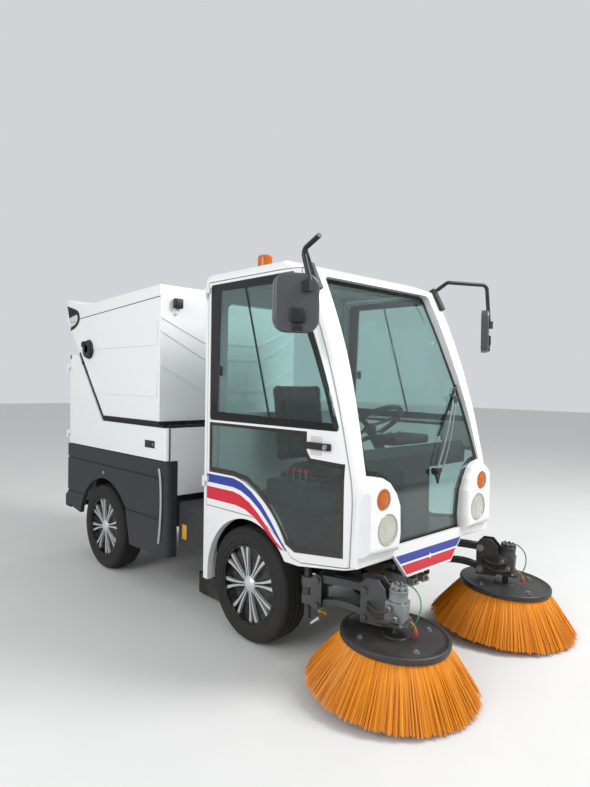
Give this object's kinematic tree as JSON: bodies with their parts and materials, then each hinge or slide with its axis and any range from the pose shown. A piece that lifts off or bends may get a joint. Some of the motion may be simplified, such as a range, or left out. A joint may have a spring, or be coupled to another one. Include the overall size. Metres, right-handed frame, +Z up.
{
  "type": "compact street sweeper",
  "caption": "Compact street sweeper truck with a tall glazed cab, swinging front side brushes on link arms and a rear-tipping hopper over a dark skirted body.",
  "frame": {"origin": "centre of the overall box on the ground the wheels stand on", "axes": "+X forward, +Y to the left of the machine, +Z up"},
  "size_m": [3.4391, 1.8858, 2.063],
  "materials": {
    "white_paint": "satin",
    "black_paint": "satin",
    "gunmetal_paint": "satin",
    "engine_iron": "matt",
    "dark_plastic": "matt",
    "charcoal_plastic": "matt",
    "black_plastic": "matt",
    "black_rubber": "matt",
    "red_lens": "gloss",
    "amber_lens": "gloss",
    "clear_lens": "gloss",
    "tinted_glass": "gloss",
    "seat_fabric": "matt",
    "silver_plastic": "satin",
    "tyre_rubber": "matt",
    "chrome_rod": "polished",
    "yellow_bristle": "matt"
  },
  "bodies": {
    "chassis": {"chassis_frame": "black_paint", "front_axle": "black_paint", "rear_axle": "black_paint", "engine_block": "engine_iron", "side_tanks": "dark_plastic", "suction_mouth": "black_rubber", "rear_body": "white_paint", "bulkhead": "white_paint", "wheel_housings": "black_paint", "side_skirts": "charcoal_plastic", "rear_bumper": "charcoal_plastic", "tail_lamps": "red_lens", "cab_frame": "white_paint", "cab_roof": "white_paint", "cab_floor": "black_paint", "front_panel": "white_paint", "windscreen": "tinted_glass", "rear_window": "tinted_glass", "dashboard": "black_plastic", "driver_seat": "seat_fabric", "headlamps": "clear_lens", "indicators": "amber_lens", "beacon": "amber_lens", "mirrors": "black_plastic", "wiper": "black_plastic"},
    "steering": {"steering_wheel": "black_plastic"},
    "rear_hood": {"engine_door": "charcoal_plastic"},
    "hopper": {"hopper": "white_paint", "hopper_lid": "white_paint"},
    "hatch": {"hopper_hatch": "black_paint"},
    "barrels": {"lift_barrels": "black_paint"},
    "rods": {"lift_rods": "chrome_rod"},
    "knuckle_right": {"knuckle_right": "black_paint"},
    "wheel_front_right": {"tyre_front_right": "tyre_rubber", "rim_front_right": "silver_plastic"},
    "wheel_rear_right": {"tyre_rear_right": "tyre_rubber", "rim_rear_right": "silver_plastic"},
    "cab_door_right": {"door_right": "white_paint", "door_glass_right": "tinted_glass"},
    "cover_right": {"side_cover_right": "white_paint"},
    "swing_right": {"arm_bracket_right": "gunmetal_paint"},
    "upper_link_right": {"arm_upper_link_right": "gunmetal_paint"},
    "lower_link_right": {"arm_lower_link_right": "gunmetal_paint"},
    "head_right": {"brush_head_right": "gunmetal_paint"},
    "broom_right": {"brush_right": "yellow_bristle"},
    "knuckle_left": {"knuckle_left": "black_paint"},
    "wheel_front_left": {"tyre_front_left": "tyre_rubber", "rim_front_left": "silver_plastic"},
    "wheel_rear_left": {"tyre_rear_left": "tyre_rubber", "rim_rear_left": "silver_plastic"},
    "cab_door_left": {"door_left": "white_paint", "door_glass_left": "tinted_glass"},
    "cover_left": {"side_cover_left": "white_paint"},
    "swing_left": {"arm_bracket_left": "black_paint"},
    "upper_link_left": {"arm_upper_link_left": "black_paint"},
    "lower_link_left": {"arm_lower_link_left": "black_paint"},
    "head_left": {"brush_head_left": "black_paint"},
    "broom_left": {"brush_left": "yellow_bristle"}
  },
  "joints": [
    {"name": "steer_left", "type": "hinge", "parent": "chassis", "child": "knuckle_left", "pos_m": [0.538, 0.316, 0.3], "axis": [0, 0, 1], "range_deg": [-28, 28]},
    {"name": "steer_right", "type": "hinge", "parent": "chassis", "child": "knuckle_right", "pos_m": [0.538, -0.444, 0.3], "axis": [0, 0, 1], "range_deg": [-28, 28]},
    {"name": "steering_wheel_turn", "type": "hinge", "parent": "chassis", "child": "steering", "pos_m": [0.873, -0.064, 1.12], "axis": [-0.5736, 0, 0.8192], "range_deg": [-504, 504]},
    {"name": "front_wheel_spin_right", "type": "hinge", "parent": "knuckle_right", "child": "wheel_front_right", "pos_m": [0.538, -0.5365, 0.3], "axis": [0, 1, 0], "continuous": true},
    {"name": "rear_wheel_spin_right", "type": "hinge", "parent": "chassis", "child": "wheel_rear_right", "pos_m": [-1.087, -0.5365, 0.3], "axis": [0, 1, 0], "continuous": true},
    {"name": "door_swing_right", "type": "hinge", "parent": "chassis", "child": "cab_door_right", "pos_m": [0.19, -0.653, 1.3], "axis": [0, 0, -1], "range_deg": [0, 75]},
    {"name": "side_cover_swing_right", "type": "hinge", "parent": "chassis", "child": "cover_right", "pos_m": [-1.638, -0.651, 1.18], "axis": [0, 0, -1], "range_deg": [0, 70]},
    {"name": "front_wheel_spin_left", "type": "hinge", "parent": "knuckle_left", "child": "wheel_front_left", "pos_m": [0.538, 0.4085, 0.3], "axis": [0, 1, 0], "continuous": true},
    {"name": "rear_wheel_spin_left", "type": "hinge", "parent": "chassis", "child": "wheel_rear_left", "pos_m": [-1.087, 0.4085, 0.3], "axis": [0, 1, 0], "continuous": true},
    {"name": "door_swing_left", "type": "hinge", "parent": "chassis", "child": "cab_door_left", "pos_m": [0.19, 0.525, 1.3], "axis": [0, 0, 1], "range_deg": [0, 75]},
    {"name": "side_cover_swing_left", "type": "hinge", "parent": "chassis", "child": "cover_left", "pos_m": [-1.638, 0.523, 1.18], "axis": [0, 0, 1], "range_deg": [0, 70]},
    {"name": "engine_door_swing", "type": "hinge", "parent": "chassis", "child": "rear_hood", "pos_m": [-1.661, 0.432, 1.005], "axis": [0, 0, -1], "range_deg": [0, 90]},
    {"name": "hopper_tip", "type": "hinge", "parent": "chassis", "child": "hopper", "pos_m": [-1.552, -0.064, 1.535], "axis": [0, -1, 0], "range_deg": [0, 55]},
    {"name": "hatch_swing", "type": "hinge", "parent": "hopper", "child": "hatch", "pos_m": [-1.654, -0.064, 1.892], "axis": [0, 1, 0], "range_deg": [0, 70]},
    {"name": "lift_barrel_turn", "type": "hinge", "parent": "chassis", "child": "barrels", "pos_m": [-1.412, -0.064, 0.5], "axis": [0, 1, 0], "range_deg": [-1, 6]},
    {"name": "lift_rod_slide", "type": "slide", "parent": "barrels", "child": "rods", "axis": [0.0034, 0, 1], "range_m": [0, 0.19]},
    {"name": "arm_swing_right", "type": "hinge", "parent": "chassis", "child": "swing_right", "pos_m": [0.928, -0.564, 0.37], "axis": [0, 0, -1], "range_deg": [0, 45]},
    {"name": "arm_lift_right", "type": "hinge", "parent": "swing_right", "child": "upper_link_right", "pos_m": [0.99755, -0.54537, 0.438], "axis": [0.2588, -0.9659, 0], "range_deg": [0, 10]},
    {"name": "arm_lower_right", "type": "hinge", "parent": "swing_right", "child": "lower_link_right", "pos_m": [0.99755, -0.54537, 0.318], "axis": [0.2588, -0.9659, 0], "range_deg": [0, 10]},
    {"name": "head_level_right", "type": "hinge", "parent": "upper_link_right", "child": "head_right", "pos_m": [1.22937, -0.48325, 0.438], "axis": [0.2588, -0.9659, 0], "range_deg": [-10, 0]},
    {"name": "brush_spin_right", "type": "hinge", "parent": "head_right", "child": "broom_right", "pos_m": [1.35591, -0.44934, 0.249], "axis": [0.0674, 0.0181, 0.9976], "continuous": true},
    {"name": "arm_swing_left", "type": "hinge", "parent": "chassis", "child": "swing_left", "pos_m": [0.928, 0.436, 0.37], "axis": [0, 0, 1], "range_deg": [-33, 12]},
    {"name": "arm_lift_left", "type": "hinge", "parent": "swing_left", "child": "upper_link_left", "pos_m": [0.99648, 0.45825, 0.438], "axis": [0.309, -0.9511, 0], "range_deg": [0, 10]},
    {"name": "arm_lower_left", "type": "hinge", "parent": "swing_left", "child": "lower_link_left", "pos_m": [0.99648, 0.45825, 0.318], "axis": [0.309, -0.9511, 0], "range_deg": [0, 10]},
    {"name": "head_level_left", "type": "hinge", "parent": "upper_link_left", "child": "head_left", "pos_m": [1.22473, 0.53241, 0.438], "axis": [0.309, -0.9511, 0], "range_deg": [-10, 0]},
    {"name": "brush_spin_left", "type": "hinge", "parent": "head_left", "child": "broom_left", "pos_m": [1.34932, 0.57289, 0.249], "axis": [0.0663, 0.0216, 0.9976], "continuous": true}
  ],
  "couplings": [
    {"joint": "steer_right", "follows": "steer_left", "ratio": 1},
    {"joint": "steering_wheel_turn", "follows": "steer_left", "ratio": 18},
    {"joint": "lift_barrel_turn", "follows": "hopper_tip", "ratio": 0.072},
    {"joint": "lift_rod_slide", "follows": "hopper_tip", "m_per_rad": 0.1793},
    {"joint": "arm_lower_right", "follows": "arm_lift_right", "ratio": 1},
    {"joint": "head_level_right", "follows": "arm_lift_right", "ratio": -1},
    {"joint": "arm_lower_left", "follows": "arm_lift_left", "ratio": 1},
    {"joint": "head_level_left", "follows": "arm_lift_left", "ratio": -1}
  ]
}
